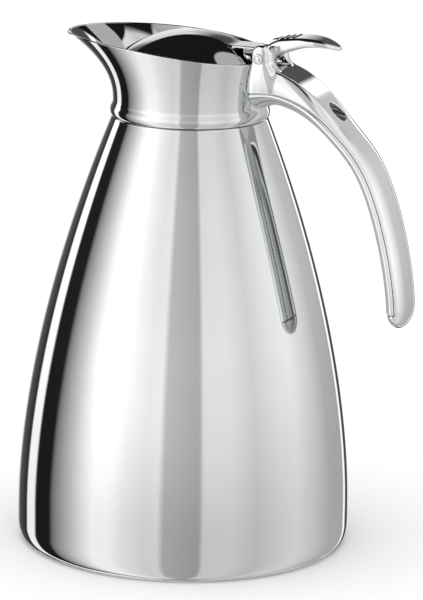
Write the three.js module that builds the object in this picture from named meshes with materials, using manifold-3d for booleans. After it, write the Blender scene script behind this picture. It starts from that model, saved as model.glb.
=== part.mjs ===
// Vacuum coffee carafe: a double-walled steel flask with a wide pouring collar,
// an open-ended cast handle and a domed lid that a thumb lever lifts.
// Millimetres, +Z up. The origin is the centre of the base, on the surface it stands on.
// +X points to the handle and -X to the spout, and the carafe is symmetric about y = 0.
import * as THREE from "three";
import { mergeVertices } from "three/addons/utils/BufferGeometryUtils.js";
import Module from "manifold-3d";

const wasm = await Module();
wasm.setup();

// ---------------------------------------------------------------- driving dimensions

const GAP = 0.3; // clearance between touching pieces
const STEEL = 0.6; // wall of the outer casing
const FINE_STEEL = 0.5; // wall of the inner flask

const body = {
  radius: 70.1, // widest, near the base
  bellyHeight: 15, // where the casing starts to narrow
  neckHeight: 181.6, // the crease under the collar
  neckRadius: 32.4,
  curve: 1.75, // how late the casing narrows
  footHeight: 1.5,
  footRadius: 68.3,
};
const flask = { vacuumGap: 6.5, floor: 10.4, neckRadius: 25.1, lip: 189.3, lipRadius: 29.2 };
const collar = {
  radius: 32.2,
  waist: 188, // height of the narrowest ring, above the bead
  beadRadius: 33.2,
  backRadius: 33.4, // at the rim, behind and at the sides
  spoutReach: 54, // from the axis to the spout's tip
  tipHeight: 214.4,
  backDrop: 7.5, // how much lower the rim is behind
  flare: 2.2, // how late the wall turns outwards
  wall: 0.9,
  ledge: 190, // the wall is thicker below this
};
const pin = { x: 34.4, z: 210, radius: 1.5, bore: 1.8, headRadius: 2.1 };
const ear = { inner: 6.5, outer: 13.5, radius: 4.1, offset: 0.9, rise: 1.6, foot: 196 };
const barrel = { radius: 3.3, halfLength: 6.1 };
const spring = { coil: 2.45, wire: 0.3, turns: 4, halfLength: 2, room: 3.4, halfRoom: 2.7 };
const SLOT_FLOOR = 205.4; // of the slot between the ears, and of the notch in the collar
const dome = { radius: 29.8, skirtBottom: 204.8, edge: 206.6, top: 217.4, wall: 0.8 };
const tab = { halfWidth: 6, top: 213.5, underside: 212.3, front: 17, end: 30, lug: 1.7 };
const rivet = { x: 27.3, z: 208.6, radius: 0.9, headRadius: 1.3, lugRadius: 2.2 };
const tongue = { start: 24.6, halfWidth: 4, bottom: 207, top: 210.8 };
const seat = { bottom: 190.4, top: 191.6, mouth: 24.9 };
const screw = { y: 7, z: 199, radius: 1.5, bore: 1.8, headRadius: 2.2, start: 28.8, end: 41.5 };
const inlay = { share: 0.285, radius: 4.4, tilt: 16, recess: 1.8, top: 0.6, bottom: 1.5 };
const ridge = { x: 41.5, z: 217, pitch: 2.5, rise: 0.4, count: 3, radius: 0.9, halfLength: 4.6 };

// ---------------------------------------------------------------- shape helpers

const V = (x, y, z) => new THREE.Vector3(x, y, z);

// A closed mesh as a manifold-3d solid, and back.
function toSolid(geometry) {
  const bare = geometry.index ? geometry.toNonIndexed() : geometry.clone();
  bare.deleteAttribute("normal");
  bare.deleteAttribute("uv");
  const merged = mergeVertices(bare, 1e-4);
  return new wasm.Manifold(
    new wasm.Mesh({
      numProp: 3,
      vertProperties: merged.attributes.position.array,
      triVerts: new Uint32Array(merged.index.array),
    }),
  );
}

function toGeometry(solid) {
  const mesh = solid.getMesh();
  const geometry = new THREE.BufferGeometry();
  geometry.setAttribute("position", new THREE.BufferAttribute(mesh.vertProperties, 3));
  geometry.setIndex(new THREE.BufferAttribute(mesh.triVerts, 1));
  return geometry;
}

const cut = (from, ...tools) =>
  toGeometry(tools.reduce((solid, tool) => solid.subtract(toSolid(tool)), toSolid(from)));
const join = (...pieces) =>
  toGeometry(pieces.map(toSolid).reduce((whole, piece) => whole.add(piece)));

// Turns a closed [radius, height] outline round the Z axis.
function revolve(outline, segments = 36) {
  const area = outline.reduce((sum, [r, z], i) => {
    const [nextR, nextZ] = outline[(i + 1) % outline.length];
    return sum + r * nextZ - nextR * z;
  }, 0);
  const ordered = area > 0 ? [...outline] : [...outline].reverse();
  ordered.push(ordered[0]);
  const points = ordered.map(([r, z]) => new THREE.Vector2(r, z));
  return new THREE.LatheGeometry(points, segments).rotateX(Math.PI / 2);
}

// A wall of even thickness under an open [radius, height] line that runs upwards.
function wallOf(line, thickness) {
  const inside = line.map(([r, z], i) => {
    const [r0, z0] = line[Math.max(i - 1, 0)];
    const [r1, z1] = line[Math.min(i + 1, line.length - 1)];
    const length = Math.hypot(r1 - r0, z1 - z0);
    const across = [-(z1 - z0) / length, (r1 - r0) / length];
    return [Math.max(r + across[0] * thickness, 0), z + across[1] * thickness];
  });
  return [...line, ...inside.reverse()];
}

// Skins rings of equal point count, and closes both ends with a fan.
function loft(rings) {
  const count = rings[0].length;
  const points = rings.flat();
  const faces = [];
  for (let i = 0; i + 1 < rings.length; i++)
    for (let j = 0; j < count; j++) {
      const [a, b] = [i * count + j, i * count + ((j + 1) % count)];
      faces.push(a, b, b + count, a, b + count, a + count);
    }
  for (const [ring, flip] of [[0, true], [rings.length - 1, false]]) {
    const centre = points.length;
    points.push(rings[ring].reduce((sum, p) => sum.add(p), V(0, 0, 0)).divideScalar(count));
    for (let j = 0; j < count; j++) {
      const [a, b] = [ring * count + j, ring * count + ((j + 1) % count)];
      faces.push(centre, flip ? b : a, flip ? a : b);
    }
  }
  return facingOut(points, faces);
}

// Skins rings that also close on each other, as round a hollow collar.
function loftRound(rings) {
  const count = rings[0].length;
  const faces = [];
  rings.forEach((_, i) => {
    const next = (i + 1) % rings.length;
    for (let j = 0; j < count; j++) {
      const k = (j + 1) % count;
      faces.push(i * count + j, i * count + k, next * count + k);
      faces.push(i * count + j, next * count + k, next * count + j);
    }
  });
  return facingOut(rings.flat(), faces);
}

function facingOut(points, faces) {
  let volume = 0;
  for (let i = 0; i < faces.length; i += 3) {
    const [a, b, c] = [points[faces[i]], points[faces[i + 1]], points[faces[i + 2]]];
    volume += a.dot(b.clone().cross(c));
  }
  if (volume < 0)
    for (let i = 0; i < faces.length; i += 3)
      [faces[i + 1], faces[i + 2]] = [faces[i + 2], faces[i + 1]];
  return new THREE.BufferGeometry().setFromPoints(points).setIndex(faces);
}

const box = (x0, x1, y0, y1, z0, z1) =>
  new THREE.BoxGeometry(x1 - x0, y1 - y0, z1 - z0).translate(
    (x0 + x1) / 2,
    (y0 + y1) / 2,
    (z0 + z1) / 2,
  );
const rodAlongY = (x, z, radius, y0, y1, sides = 20) =>
  new THREE.CylinderGeometry(radius, radius, y1 - y0, sides).translate(x, (y0 + y1) / 2, z);
const rodAlongX = (y, z, radius, x0, x1, sides = 16) =>
  new THREE.CylinderGeometry(radius, radius, x1 - x0, sides)
    .rotateZ(Math.PI / 2)
    .translate((x0 + x1) / 2, y, z);

const mix = (a, b, t) => a + (b - a) * t;
const smooth = (t) => THREE.MathUtils.smoothstep(t, 0, 1);

// Turns a cosine or sine into one that draws a rounded rectangle instead of an ellipse.
const SQUARE = 0.55;
const squared = (t, power = SQUARE) => Math.sign(t) * Math.abs(t) ** power;

// ---------------------------------------------------------------- finishes

const finish = (color, roughness, metalness) => ({ color, roughness, metalness });
const finishes = {
  polishedSteel: finish(0xd9dcdd, 0.06, 1),
  brushedSteel: finish(0xb9bcbe, 0.35, 1),
  castMetal: finish(0xdfe1e2, 0.08, 1),
  springSteel: finish(0x9fa2a5, 0.3, 1),
  blackPlastic: finish(0x1c1d1f, 0.45, 0),
  silicone: finish(0xcfcac0, 0.6, 0),
  foam: finish(0xe9e6dc, 0.9, 0),
  braze: finish(0xb08a52, 0.4, 1),
};

const carafe = new THREE.Group();
function add(name, geometry, kind) {
  const mesh = new THREE.Mesh(geometry, new THREE.MeshStandardMaterial(finishes[kind]));
  mesh.name = name;
  carafe.add(mesh);
}

// ---------------------------------------------------------------- casing and base

function bodyRadius(z) {
  const climbed = Math.max(z - body.bellyHeight, 0) / (body.neckHeight - body.bellyHeight);
  return body.radius - (body.radius - body.neckRadius) * climbed ** body.curve;
}

function casingLine(from, to, steps, inset = 0) {
  const line = [];
  for (let i = 0; i <= steps; i++) {
    const z = mix(from, to, i / steps);
    line.push([bodyRadius(z) - inset, z]);
  }
  return line;
}

function outerShell() {
  const line = [
    [body.footRadius, body.footHeight],
    [69.4, 2.3],
    [69.9, 4],
    ...casingLine(10, body.neckHeight - 0.4, 9),
    [flask.lipRadius + 1.6, body.neckHeight],
    [flask.lipRadius, body.neckHeight + 0.9],
    [flask.lipRadius, flask.lip - GAP],
  ];
  return revolve(wallOf(line, STEEL));
}

// A shallow cup: it stands on its rim and on its middle, and a groove lies between them.
function basePlate() {
  return revolve([
    [0, 0],
    [22, 0],
    [24, 0.5],
    [58, 0.5],
    [60, 0],
    [66.9, 0],
    [67.6, 0.4],
    [67.6, 1.2],
    [66.6, 1.3],
    [66.6, 2.7],
    [65.8, 2.7],
    [65.6, 1.3],
    [0, 1.3],
  ]);
}

function bottomClosure() {
  return revolve([
    [2, 3.2],
    [8, 3.2],
    [10, 4.2],
    [60, 4.2],
    [62, 3.2],
    [68.4, 3.2],
    [68.6, 4],
    [62.6, 4],
    [60.6, 5],
    [9.4, 5],
    [7.4, 4],
    [2, 4],
  ]);
}

const sealBead = () => revolve([[0, 2.9], [1.4, 2.9], [1.7, 3.6], [1.2, 4.4], [0, 4.6]], 20);
const getterDisc = () => revolve([[0, 8.9], [8, 8.9], [8, 10], [0, 10]], 24);

// ---------------------------------------------------------------- inner flask and mouth

function innerFlask() {
  const line = [
    [0, flask.floor],
    [48, flask.floor],
    [56, flask.floor + 1.6],
    [61, flask.floor + 5.6],
    [63.2, flask.floor + 11.6],
    ...casingLine(34, body.neckHeight - 1, 6, flask.vacuumGap),
    [flask.neckRadius, body.neckHeight + 1.4],
    [flask.neckRadius, flask.lip - 1.6],
    [flask.neckRadius + 0.7, flask.lip - 0.3],
    [flask.neckRadius + 1.8, flask.lip],
    [flask.lipRadius, flask.lip],
  ];
  return revolve(wallOf(line, FINE_STEEL), 32);
}

// The floor of the pouring collar, with the flat seat that the stopper closes on.
function mouthRing() {
  return revolve([
    [seat.mouth, seat.bottom],
    [31, seat.bottom],
    [31, seat.top + 1.4],
    [30.2, seat.top + 1.4],
    [27.8, seat.top],
    [seat.mouth + 0.5, seat.top],
    [seat.mouth, seat.top - 0.4],
  ], 32);
}

const neckGasket = () => revolve([[29.5, 183], [30.3, 183], [30.3, 188], [29.5, 188]], 32);

// ---------------------------------------------------------------- pouring collar

// The rim seen from above is round behind and a half ellipse towards the spout.
function rimPoint(angle) {
  const reach = Math.cos(angle) < 0 ? collar.spoutReach : collar.backRadius;
  const x = reach * Math.cos(angle);
  const back = (x + collar.spoutReach) / (collar.backRadius + collar.spoutReach);
  return V(x, collar.backRadius * Math.sin(angle), collar.tipHeight - collar.backDrop * back ** 2);
}

// A point of the collar's outer face: share 0 is the waist and 1 is the rim.
function collarPoint(angle, share, inset = 0) {
  const rim = rimPoint(angle);
  const waist = V(Math.cos(angle), Math.sin(angle), 0).multiplyScalar(collar.radius);
  const reach = Math.cos(angle) < 0 ? collar.spoutReach : collar.backRadius;
  const outward = V(Math.cos(angle) / reach, Math.sin(angle) / collar.backRadius, 0).normalize();
  const out = share ** collar.flare;
  return V(
    mix(waist.x, rim.x, out) - outward.x * inset,
    mix(waist.y, rim.y, out) - outward.y * inset,
    mix(collar.waist, rim.z, share),
  );
}

function spoutCollar() {
  const segments = 48;
  const bead = [
    [31.6, body.neckHeight + 0.35],
    [32.7, 182.7],
    [collar.beadRadius, 184.3],
    [32.9, 185.8],
    [32.35, 187],
  ];
  const inside = [
    [31.3, collar.ledge],
    [30.6, collar.ledge],
    [30.6, body.neckHeight + 0.35],
  ];
  const rings = [];
  for (let j = 0; j < segments; j++) {
    const angle = (j / segments) * 2 * Math.PI;
    const round = ([r, z]) => V(r * Math.cos(angle), r * Math.sin(angle), z);
    rings.push([
      ...bead.map(round),
      ...[0, 0.3, 0.55, 0.75, 0.9, 0.985].map((t) => collarPoint(angle, t)),
      collarPoint(angle, 1, collar.wall / 2),
      ...[0.985, 0.9, 0.75, 0.55, 0.3].map((t) => collarPoint(angle, t, collar.wall)),
      ...inside.map(round),
    ]);
  }
  const notch = box(28, 40, -ear.inner - 0.5, ear.inner + 0.5, SLOT_FLOOR, pin.z + 10);
  return cut(loftRound(rings), notch, ...screwSides.map(handleScrewBore));
}

// ---------------------------------------------------------------- handle

// The handle's middle line in the plane y = 0, from the collar to the open end.
const handleLine = new THREE.CatmullRomCurve3([
  V(28, 0, 197.6),
  V(38, 0, 197.7),
  V(47.2, 0, 195),
  V(56.2, 0, 189.8),
  V(65.6, 0, 181.7),
  V(76.4, 0, 170),
  V(86, 0, 150),
  V(91.4, 0, 130),
  V(94.2, 0, 112),
  V(94.8, 0, 101),
]);
const LINER_END = 0.945; // share of the handle's length at which the liner stops
const HANDLE_SIDES = 20;
const GRIP_SQUARE = 0.95; // the grip's section is nearly an ellipse
// Half sizes of the grip, and what the root adds to them.
const grip = { thick: 4.5, wide: 12.8, rootThick: 3.95, rootWide: 0.3 };
// Height of the liner's seam off the middle line, on the grip and at the root.
const seam = { grip: 1, root: -2.8 };
// Shares of the handle's length at which the root's extra thickness, its extra width, the flat
// of the back and the seam's dip have died out.
const dies = { thick: 0.34, wide: 0.2, flat: 0.42, seam: 0.3 };
const flare = { depth: 2.4, share: 0.12 }; // the root spreads downwards where it meets the collar
const tip = { start: 0.935, length: 0.066, blunt: 0.2 }; // the open end is rounded off

// Half thickness above and below the middle line, half width, and how far above the flat the
// back's curve would reach, at a share of the handle's length.
function handleSize(share) {
  const rounded = Math.max(share - tip.start, 0) / tip.length;
  const end = mix(tip.blunt, 1, Math.sqrt(Math.max(1 - rounded ** 2, 0)));
  const thick = (grip.thick + grip.rootThick * smooth(1 - share / dies.thick)) * end;
  return {
    thick,
    below: thick + flare.depth * smooth(1 - share / flare.share),
    wide: (grip.wide + grip.rootWide * smooth(1 - share / dies.wide)) * end,
    crown: thick * mix(1, 2, smooth(1 - share / dies.flat)),
  };
}

// One cross-section. "cast" is the part above the liner's seam, "liner" the strip below it.
function handleRing(share, part) {
  const centre = handleLine.getPointAt(share);
  const along = handleLine.getTangentAt(share);
  const out = V(-along.z, 0, along.x);
  const { thick, below, wide, crown } = handleSize(share);
  const seamHeight = mix(seam.grip, seam.root, smooth(1 - share / dies.seam));
  const angleAt = (height) =>
    Math.asin(squared(height / (height > 0 ? crown : below), 1 / GRIP_SQUARE));
  const spans = {
    whole: () => [0, 2 * Math.PI * (1 - 1 / HANDLE_SIDES)],
    cast: () => [angleAt(seamHeight), Math.PI - angleAt(seamHeight)],
    liner: () => [-Math.PI - angleAt(seamHeight - GAP), angleAt(seamHeight - GAP)],
  };
  const [first, last] = spans[part]();
  const ring = [];
  for (let j = 0; j < HANDLE_SIDES; j++) {
    const angle = mix(first, last, j / (HANDLE_SIDES - 1));
    const [c, s] = [Math.cos(angle), Math.sin(angle)];
    const v = Math.min((s > 0 ? crown : below) * squared(s, GRIP_SQUARE), thick);
    ring.push(centre.clone().add(V(0, wide * squared(c, GRIP_SQUARE), 0)).addScaledVector(out, v));
  }
  return ring;
}

function handleStretch(part, from, to, steps) {
  const rings = [];
  for (let i = 0; i <= steps; i++) rings.push(handleRing(mix(from, to, i / steps), part));
  return loft(rings);
}

// An upright rounded cheek that carries one end of the hinge pin.
function hingeEar(side) {
  const outline = new THREE.Shape();
  outline.absarc(pin.x + ear.offset, pin.z + ear.rise, ear.radius, 0, Math.PI, false);
  outline.lineTo(pin.x - 2.6, ear.foot);
  outline.lineTo(pin.x + 5.4, ear.foot);
  const thickness = ear.outer - ear.inner;
  const plate = new THREE.ExtrudeGeometry(outline, {
    depth: thickness,
    bevelEnabled: false,
    curveSegments: 10,
  });
  plate.rotateX(Math.PI / 2); // its thickness now runs along -Y
  return plate.translate(0, side < 0 ? -ear.inner : ear.outer, 0);
}

const screwSides = [-screw.y, screw.y];
const handleScrewBore = (y) => rodAlongX(y, screw.z, screw.bore, screw.start - 1.8, screw.end + 1);

// What the collar and its surroundings take out of the handle's root.
function collarSpace() {
  const line = [[0, 170], [32.7, 170], [33.6, 184.3], [32.6, 188]];
  for (const share of [0.25, 0.5, 0.75, 1]) {
    const point = collarPoint(0, share);
    line.push([point.x + GAP, point.z]);
  }
  return revolve([...line, [34, 215], [0, 215]], 72);
}

function handleBody() {
  const whole = join(
    handleStretch("cast", 0, LINER_END, 22),
    handleStretch("whole", LINER_END - 0.004, 1, 7),
    hingeEar(-1),
    hingeEar(1),
  );
  const slot = box(20, 48, -ear.inner, ear.inner, SLOT_FLOOR, pin.z + 10);
  const pinBore = rodAlongY(pin.x, pin.z, pin.bore, -20, 20);
  const bores = screwSides.map(handleScrewBore);
  return cut(whole, collarSpace(), slot, pinBore, inlayRecess(), ...bores);
}

const handleLiner = () => cut(handleStretch("liner", 0, LINER_END - 0.012, 22), collarSpace());

// A round plate let into the flat of the handle's back. Its seat lies flatter than the back, so
// its upper edge is let in deeper than its lower edge.
function inlaySolid(grow, low, high) {
  const tangent = handleLine.getTangentAt(inlay.share);
  const middle = handleLine
    .getPointAt(inlay.share)
    .addScaledVector(V(-tangent.z, 0, tangent.x), handleSize(inlay.share).thick);
  const plate = new THREE.CylinderGeometry(inlay.radius + grow, inlay.radius + grow, high - low, 32);
  plate.rotateX(Math.PI / 2).translate(0, 0, (low + high) / 2);
  plate.rotateY(-Math.atan2(tangent.z, tangent.x) - THREE.MathUtils.degToRad(inlay.tilt));
  return plate.translate(middle.x, 0, middle.z);
}
const inlayRecess = () => inlaySolid(GAP, -inlay.recess, 4);
const handleInlay = () => inlaySolid(0, -inlay.bottom, -inlay.top);

function handleScrew(y) {
  const head = rodAlongX(y, screw.z, screw.headRadius, screw.start, screw.start + 1.4);
  const shank = rodAlongX(y, screw.z, screw.radius, screw.start + 1.2, screw.end);
  const drive = rodAlongX(y, screw.z, screw.headRadius / 2, screw.start - 0.3, screw.start + 0.6, 6);
  return cut(join(head, shank), drive);
}

// ---------------------------------------------------------------- hinge

function hingePin() {
  const shaft = rodAlongY(pin.x, pin.z, pin.radius, -ear.outer - 0.8, ear.outer + 1);
  const head = rodAlongY(pin.x, pin.z, pin.headRadius, -ear.outer - 1.1, -ear.outer - GAP);
  return join(shaft, head);
}

function pinCap() {
  const cap = rodAlongY(pin.x, pin.z, pin.headRadius, ear.outer + GAP, ear.outer + 1.8);
  return cut(cap, rodAlongY(pin.x, pin.z, pin.bore, ear.outer, ear.outer + 1.3));
}

// A torsion spring round the pin: one leg lies on the lever's tongue, the other on the handle.
function lidSpring() {
  const stepsPerTurn = 10;
  const steps = stepsPerTurn * (spring.turns + 0.25);
  const points = [V(pin.x - 6, -spring.halfLength, tongue.top + 2 * spring.wire)];
  for (let i = 0; i <= steps; i++) {
    const angle = Math.PI / 2 - (i / stepsPerTurn) * 2 * Math.PI;
    const y = mix(-spring.halfLength, spring.halfLength, i / steps);
    points.push(
      V(pin.x + spring.coil * Math.cos(angle), y, pin.z + spring.coil * Math.sin(angle)),
    );
  }
  points.push(V(pin.x + spring.coil, spring.halfLength, pin.z - 4.1));
  const path = new THREE.CatmullRomCurve3(points);
  const section = new THREE.Shape().absarc(0, 0, spring.wire, 0, 2 * Math.PI);
  return new THREE.ExtrudeGeometry(section, {
    steps: Math.round(steps) + 5,
    extrudePath: path,
    curveSegments: 3,
  });
}

// ---------------------------------------------------------------- lid

// Height of the dome's outer face at a distance from the axis.
function domeHeight(r, inset = 0) {
  const rise = dome.top - dome.edge;
  const sphere = (dome.radius ** 2 + rise ** 2) / (2 * rise);
  return dome.top - sphere + Math.sqrt((sphere - inset) ** 2 - r ** 2);
}

function lidCover() {
  const steps = 7;
  const outside = [[dome.radius, dome.skirtBottom], [dome.radius, dome.edge]];
  const inner = dome.radius - dome.wall;
  const inside = [[inner, dome.skirtBottom], [inner, dome.edge - 0.3]];
  for (let i = 1; i <= steps; i++) {
    const share = 1 - i / steps;
    outside.push([dome.radius * share, domeHeight(dome.radius * share)]);
    inside.push([inner * share, domeHeight(inner * share, dome.wall)]);
  }
  const shell = revolve([...outside, ...inside.reverse()]);
  const boss = revolve([[0, 207.2], [3.4, 207.2], [3.4, 217], [0, 217]], 16);
  const screwHole = revolve([[0, 206], [screw.bore, 206], [screw.bore, 214.4], [0, 214.4]], 16);
  const whole = join(cut(shell, hingeNotch()), boss, tabPlate(), tabLug(-1), tabLug(1));
  return cut(whole, rivetHole(), screwHole);
}

// The dome's sheet is cut away behind, in a notch that widens towards the hinge.
function hingeNotch() {
  const outline = new THREE.Shape();
  outline.moveTo(tab.front + 3, -tab.halfWidth);
  outline.lineTo(32, -tab.halfWidth - 5);
  outline.lineTo(32, tab.halfWidth + 5);
  outline.lineTo(tab.front + 3, tab.halfWidth);
  const depth = tab.underside - 204;
  return new THREE.ExtrudeGeometry(outline, { depth, bevelEnabled: false }).translate(0, 0, 204);
}

// The tab bridges the notch, flat on top, and is rooted under the dome's crown.
function tabPlate() {
  const outline = new THREE.Shape();
  outline.moveTo(tab.front, tab.top);
  outline.lineTo(tab.front - 3, tab.top - 4);
  outline.lineTo(tab.front + 3, tab.top - 4);
  outline.lineTo(tab.front + 3, tab.underside);
  outline.lineTo(tab.end, tab.underside);
  outline.lineTo(tab.end, tab.top);
  const depth = 2 * tab.halfWidth;
  const plate = new THREE.ExtrudeGeometry(outline, { depth, bevelEnabled: false });
  return plate.rotateX(Math.PI / 2).translate(0, tab.halfWidth, 0);
}

// Each side of the tab turns down into a round-ended lug that the rivet passes through.
function tabLug(side) {
  const outline = new THREE.Shape();
  outline.absarc(rivet.x, rivet.z, rivet.lugRadius, Math.PI, 2 * Math.PI, false);
  outline.lineTo(rivet.x + rivet.lugRadius, tab.top - 0.4);
  outline.lineTo(rivet.x - rivet.lugRadius, tab.top - 0.4);
  const plate = new THREE.ExtrudeGeometry(outline, {
    depth: tab.lug,
    bevelEnabled: false,
    curveSegments: 8,
  });
  return plate
    .rotateX(Math.PI / 2)
    .translate(0, side < 0 ? tab.lug - tab.halfWidth : tab.halfWidth, 0);
}

const rivetHole = () => rodAlongY(rivet.x, rivet.z, rivet.radius + GAP, -8, 8, 16);

// The rivet's thin heads stand just clear of the lugs' outer faces.
function lidRivet() {
  const [inner, outer] = [tab.halfWidth + 0.1, tab.halfWidth + 0.45];
  const shank = rodAlongY(rivet.x, rivet.z, rivet.radius, -inner - 0.1, inner + 0.1, 16);
  const head = (y0, y1) => rodAlongY(rivet.x, rivet.z, rivet.headRadius, y0, y1, 16);
  return join(shank, head(-outer, -inner), head(inner, outer));
}

// The thumb lever: a barrel on the pin, a tongue inside the lid's tab and a leaf-shaped rest.
function thumbLever() {
  // [x, half width, top, bottom]
  const stations = [
    [33.6, 5.8, 213.6, 209.4],
    [36.5, 6, 215.6, 208.4],
    [39.5, 6.1, 217.1, 210.1],
    [43, 6.4, 217.9, 211.6],
    [47, 6.8, 218.5, 213.1],
    [51, 7, 218.8, 214.3],
    [55, 6.7, 218.6, 214.8],
    [59, 5.6, 217.9, 214.8],
    [62.5, 3.9, 216.7, 214.4],
    [65.4, 1.6, 215.4, 213.9],
  ];
  const rings = stations.map(([x, half, top, bottom]) => {
    const ring = [];
    for (let j = 0; j < 16; j++) {
      const angle = ((j + 0.5) / 16) * 2 * Math.PI;
      const [c, s] = [Math.cos(angle), Math.sin(angle)];
      ring.push(V(x, half * squared(c), mix(bottom, top, (squared(s) + 1) / 2)));
    }
    return ring;
  });
  const ridges = [];
  for (let i = 0; i < ridge.count; i++) {
    const [x, z] = [ridge.x + i * ridge.pitch, ridge.z + i * ridge.rise];
    ridges.push(rodAlongY(x, z, ridge.radius, -ridge.halfLength, ridge.halfLength, 10));
  }
  const knuckle = rodAlongY(pin.x, pin.z, barrel.radius, -barrel.halfLength, barrel.halfLength);
  const { start, halfWidth, bottom, top } = tongue;
  const tail = box(start, pin.x, -halfWidth, halfWidth, bottom, top);
  return cut(
    join(loft(rings), ...ridges, knuckle, tail),
    rodAlongY(pin.x, pin.z, spring.room, -spring.halfRoom, spring.halfRoom),
    rodAlongY(pin.x, pin.z, pin.bore, -20, 20),
    rivetHole(),
  );
}

function lidBase() {
  return revolve([
    [screw.bore, 204],
    [18.4, 204],
    [18.4, 201],
    [20, 201],
    [20, 204],
    [28.7, 204],
    [28.7, 206],
    [screw.bore, 206],
  ], 32);
}

function lidInsulation() {
  const outline = [[4, 206.3], [28, 206.3], [26, domeHeight(26, dome.wall) - 0.6]];
  for (const r of [20, 12, 4]) outline.push([r, domeHeight(r, dome.wall) - 0.6]);
  const tabRoom = box(tab.front - 4, 30, -30, 30, 205, 220);
  return cut(revolve(outline, 28), tabRoom);
}

const lidScrew = () =>
  revolve([
    [0, 203.2],
    [1, 203.2],
    [1, 202.3],
    [3, 202.3],
    [3, 203.7],
    [screw.radius, 203.7],
    [screw.radius, 213.6],
    [0, 213.6],
  ], 16);

// Hollow plug that closes the mouth: a flange over the seal and a taper that swings clear.
function stopper() {
  const wall = 1.4;
  return revolve([
    [0, 181],
    [15.5, 181],
    [17.5, 182.4],
    [22.6, 191.7],
    [22.6, 193.4],
    [26.8, 193.4],
    [26.8, 195],
    [22, 195.4],
    [22, 203.7],
    [22 - wall, 203.7],
    [22 - wall, 192],
    [16.2, 182.6],
    [0, 182.6],
  ], 40);
}

const stopperSeal = () =>
  revolve([[22.9, 191.9], [26.6, 191.9], [26.8, 192.5], [26.6, 193.1], [22.9, 193.1]], 40);

// ---------------------------------------------------------------- assembly

add("outer_shell", outerShell(), "polishedSteel");
add("base_plate", basePlate(), "polishedSteel");
add("bottom_closure", bottomClosure(), "brushedSteel");
add("vacuum_seal_bead", sealBead(), "braze");
add("getter_disc", getterDisc(), "springSteel");
add("inner_flask", innerFlask(), "brushedSteel");
add("mouth_ring", mouthRing(), "brushedSteel");
add("neck_gasket", neckGasket(), "silicone");
add("spout_collar", spoutCollar(), "polishedSteel");
add("handle_body", handleBody(), "castMetal");
add("handle_liner", handleLiner(), "castMetal");
add("handle_inlay", handleInlay(), "blackPlastic");
add("handle_screw_left", handleScrew(screwSides[0]), "springSteel");
add("handle_screw_right", handleScrew(screwSides[1]), "springSteel");
add("hinge_pin", hingePin(), "castMetal");
add("hinge_pin_cap", pinCap(), "castMetal");
add("lid_spring", lidSpring(), "springSteel");
add("lid_cover", lidCover(), "polishedSteel");
add("thumb_lever", thumbLever(), "castMetal");
add("lever_rivet", lidRivet(), "castMetal");
add("lid_base", lidBase(), "blackPlastic");
add("lid_insulation", lidInsulation(), "foam");
add("lid_screw", lidScrew(), "springSteel");
add("stopper", stopper(), "blackPlastic");
add("stopper_seal", stopperSeal(), "silicone");

export default carafe;
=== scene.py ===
"""The visible surfaces, stage and camera of a vacuum coffee carafe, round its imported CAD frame.

Shapes are worked out in millimetres in the frame of the CAD model: +Z up, +X to the handle and
-X to the spout. They are turned into metres when a mesh is made.
"""

import math

import bpy
import numpy as np
from mathutils import Matrix, Vector


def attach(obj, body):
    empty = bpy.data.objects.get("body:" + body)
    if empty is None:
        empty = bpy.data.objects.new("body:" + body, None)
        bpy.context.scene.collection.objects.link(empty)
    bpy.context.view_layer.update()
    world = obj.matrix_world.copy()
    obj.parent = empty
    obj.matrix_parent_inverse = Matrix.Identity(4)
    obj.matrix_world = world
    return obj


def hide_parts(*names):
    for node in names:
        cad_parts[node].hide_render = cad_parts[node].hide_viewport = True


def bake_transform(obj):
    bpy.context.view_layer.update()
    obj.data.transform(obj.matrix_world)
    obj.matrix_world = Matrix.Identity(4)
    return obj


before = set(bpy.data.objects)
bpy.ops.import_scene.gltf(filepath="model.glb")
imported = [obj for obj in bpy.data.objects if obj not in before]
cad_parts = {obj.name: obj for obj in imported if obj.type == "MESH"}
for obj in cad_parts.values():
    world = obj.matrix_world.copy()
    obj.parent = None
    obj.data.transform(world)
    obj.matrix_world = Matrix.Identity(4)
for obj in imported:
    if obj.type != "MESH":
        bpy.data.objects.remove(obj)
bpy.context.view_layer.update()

# ------------------------------ dimensions, in millimetres

MM = 0.001
GAP = 0.3
STEEL = 0.6
FINE_STEEL = 0.5

BODY = dict(radius=70.1, belly=15, neck=181.6, neck_radius=32.4, curve=1.75, ease=6)
FOOT = dict(top=8, inset=1.9, drop=6.8)
NECK_BEND = 0.6
FLASK = dict(vacuum_gap=6.5, floor=10.4, neck_radius=25.1, lip=189.3, lip_radius=29.2)
COLLAR = dict(radius=32.2, waist=188, back=33.4, reach=54, tip=214.4, drop=7.5, flare=2.2)
COLLAR_WALL = 0.9
COLLAR_LEDGE = 190
SPOUT_SHARPNESS = 2.5
NOTCH_HALF_WIDTH = 7
NOTCH_HALF_ANGLE = math.asin(NOTCH_HALF_WIDTH / COLLAR["back"])
SLOT = dict(floor=205.4, front=20, back=48)
UP = np.array([0, 0, 1])

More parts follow.
